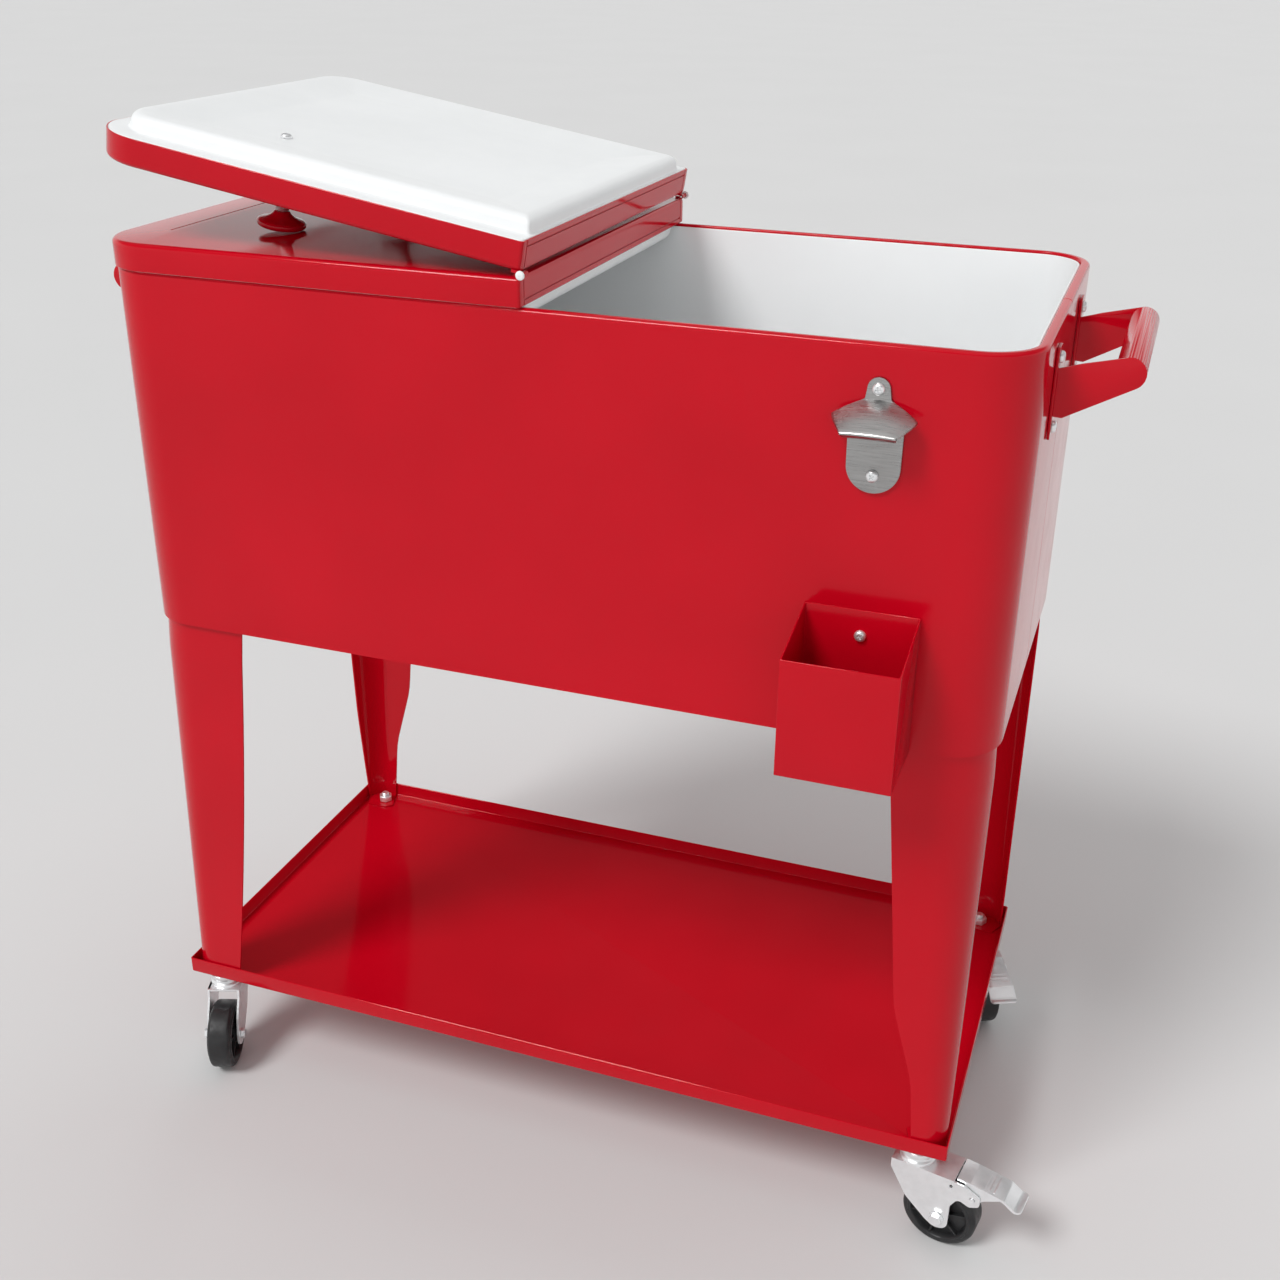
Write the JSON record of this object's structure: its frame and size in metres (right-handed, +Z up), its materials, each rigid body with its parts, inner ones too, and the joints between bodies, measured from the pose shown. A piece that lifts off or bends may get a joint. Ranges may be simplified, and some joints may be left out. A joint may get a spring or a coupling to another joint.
{
  "type": "patio cooler cart",
  "caption": "Patio cooler cart: insulated red tub on four legs with two folding half lids, side handles, bottle opener, cap catcher, shelf tray and swivel casters.",
  "frame": {"origin": "middle of the footprint's bounding box, on the floor under the wheels", "axes": "+Z up, +X along the tub towards the handle on the right-hand end, +Y towards the back; the opener and cap catcher are on the -Y front"},
  "size_m": [0.8642, 0.4384, 0.8896],
  "materials": {
    "red_paint": "gloss",
    "white_plastic": "satin",
    "foam": "matte",
    "zinc_plate": "satin",
    "stainless_steel": "satin",
    "black_plastic": "satin"
  },
  "bodies": {
    "cart": {"outer_casing": "red_paint", "inner_liner": "white_plastic", "foam_insulation": "foam", "base_plate": "red_paint", "shelf_tray": "red_paint", "front_left_leg": "red_paint", "front_left_caster_head": "zinc_plate", "front_left_stem_nut": "zinc_plate", "front_right_leg": "red_paint", "front_right_caster_head": "zinc_plate", "front_right_stem_nut": "zinc_plate", "rear_left_leg": "red_paint", "rear_left_caster_head": "zinc_plate", "rear_left_stem_nut": "zinc_plate", "rear_right_leg": "red_paint", "rear_right_caster_head": "zinc_plate", "rear_right_stem_nut": "zinc_plate", "left_handle": "red_paint", "left_handle_screw_upper_front": "zinc_plate", "left_handle_screw_upper_rear": "zinc_plate", "left_handle_screw_lower_front": "zinc_plate", "left_handle_screw_lower_rear": "zinc_plate", "right_handle": "red_paint", "right_handle_screw_upper_front": "zinc_plate", "right_handle_screw_upper_rear": "zinc_plate", "right_handle_screw_lower_front": "zinc_plate", "right_handle_screw_lower_rear": "zinc_plate", "bottle_opener": "stainless_steel", "opener_screw_upper": "zinc_plate", "opener_screw_lower": "zinc_plate", "cap_catcher": "red_paint", "catcher_screw": "zinc_plate"},
    "left_lid": {"left_lid_shell": "red_paint", "left_lid_liner": "white_plastic", "left_knob": "red_paint", "left_knob_ferrule": "zinc_plate", "left_knob_bolt": "zinc_plate", "hinge_pin_front": "zinc_plate", "hinge_pin_rear": "zinc_plate", "hinge_cap_front": "white_plastic", "hinge_cap_rear": "white_plastic"},
    "right_lid": {"right_lid_shell": "red_paint", "right_lid_liner": "white_plastic", "right_knob": "red_paint", "right_knob_ferrule": "zinc_plate", "right_knob_bolt": "zinc_plate"},
    "front_left_swivel": {"front_left_caster_fork": "zinc_plate", "front_left_axle": "zinc_plate"},
    "front_left_wheel_body": {"front_left_wheel": "black_plastic"},
    "front_right_swivel": {"front_right_caster_fork": "zinc_plate", "front_right_axle": "zinc_plate"},
    "front_right_wheel_body": {"front_right_wheel": "black_plastic"},
    "front_right_pedal": {"front_right_brake_pedal": "zinc_plate"},
    "rear_left_swivel": {"rear_left_caster_fork": "zinc_plate", "rear_left_axle": "zinc_plate"},
    "rear_left_wheel_body": {"rear_left_wheel": "black_plastic"},
    "rear_right_swivel": {"rear_right_caster_fork": "zinc_plate", "rear_right_axle": "zinc_plate"},
    "rear_right_wheel_body": {"rear_right_wheel": "black_plastic"},
    "rear_right_pedal": {"rear_right_brake_pedal": "zinc_plate"}
  },
  "joints": [
    {"name": "left_lid_lift", "type": "slide", "parent": "cart", "child": "left_lid", "axis": [0, 0, 1], "range_m": [0, 0.12]},
    {"name": "right_lid_hinge", "type": "hinge", "parent": "left_lid", "child": "right_lid", "pos_m": [-0.00414, 0.03165, 0.7973], "axis": [0, 1, 0], "range_deg": [0, 170.6]},
    {"name": "front_left_caster_swivel", "type": "hinge", "parent": "cart", "child": "front_left_swivel", "pos_m": [-0.34514, -0.13235, 0.085], "axis": [0, 0, 1], "continuous": true},
    {"name": "front_left_wheel_spin", "type": "hinge", "parent": "front_left_swivel", "child": "front_left_wheel_body", "pos_m": [-0.33625, -0.15678, 0.03225], "axis": [0.9397, 0.342, 0], "continuous": true},
    {"name": "front_right_caster_swivel", "type": "hinge", "parent": "cart", "child": "front_right_swivel", "pos_m": [0.33686, -0.13235, 0.085], "axis": [0, 0, 1], "continuous": true},
    {"name": "front_right_wheel_spin", "type": "hinge", "parent": "front_right_swivel", "child": "front_right_wheel_body", "pos_m": [0.36246, -0.13686, 0.03225], "axis": [0.1736, 0.9848, 0], "continuous": true},
    {"name": "front_right_brake_press", "type": "hinge", "parent": "front_right_swivel", "child": "front_right_pedal", "pos_m": [0.39004, -0.14173, 0.0655], "axis": [0.1736, 0.9848, 0], "range_deg": [0, 12]},
    {"name": "rear_left_caster_swivel", "type": "hinge", "parent": "cart", "child": "rear_left_swivel", "pos_m": [-0.34514, 0.19565, 0.085], "axis": [0, 0, 1], "continuous": true},
    {"name": "rear_left_wheel_spin", "type": "hinge", "parent": "rear_left_swivel", "child": "rear_left_wheel_body", "pos_m": [-0.37026, 0.18892, 0.03225], "axis": [0.2588, -0.9659, 0], "continuous": true},
    {"name": "rear_right_caster_swivel", "type": "hinge", "parent": "cart", "child": "rear_right_swivel", "pos_m": [0.33686, 0.19565, 0.085], "axis": [0, 0, 1], "continuous": true},
    {"name": "rear_right_wheel_spin", "type": "hinge", "parent": "rear_right_swivel", "child": "rear_right_wheel_body", "pos_m": [0.34825, 0.17228, 0.03225], "axis": [0.8988, 0.4384, 0], "continuous": true},
    {"name": "rear_right_brake_press", "type": "hinge", "parent": "rear_right_swivel", "child": "rear_right_pedal", "pos_m": [0.36053, 0.14712, 0.0655], "axis": [0.8988, 0.4384, 0], "range_deg": [0, 12]}
  ]
}
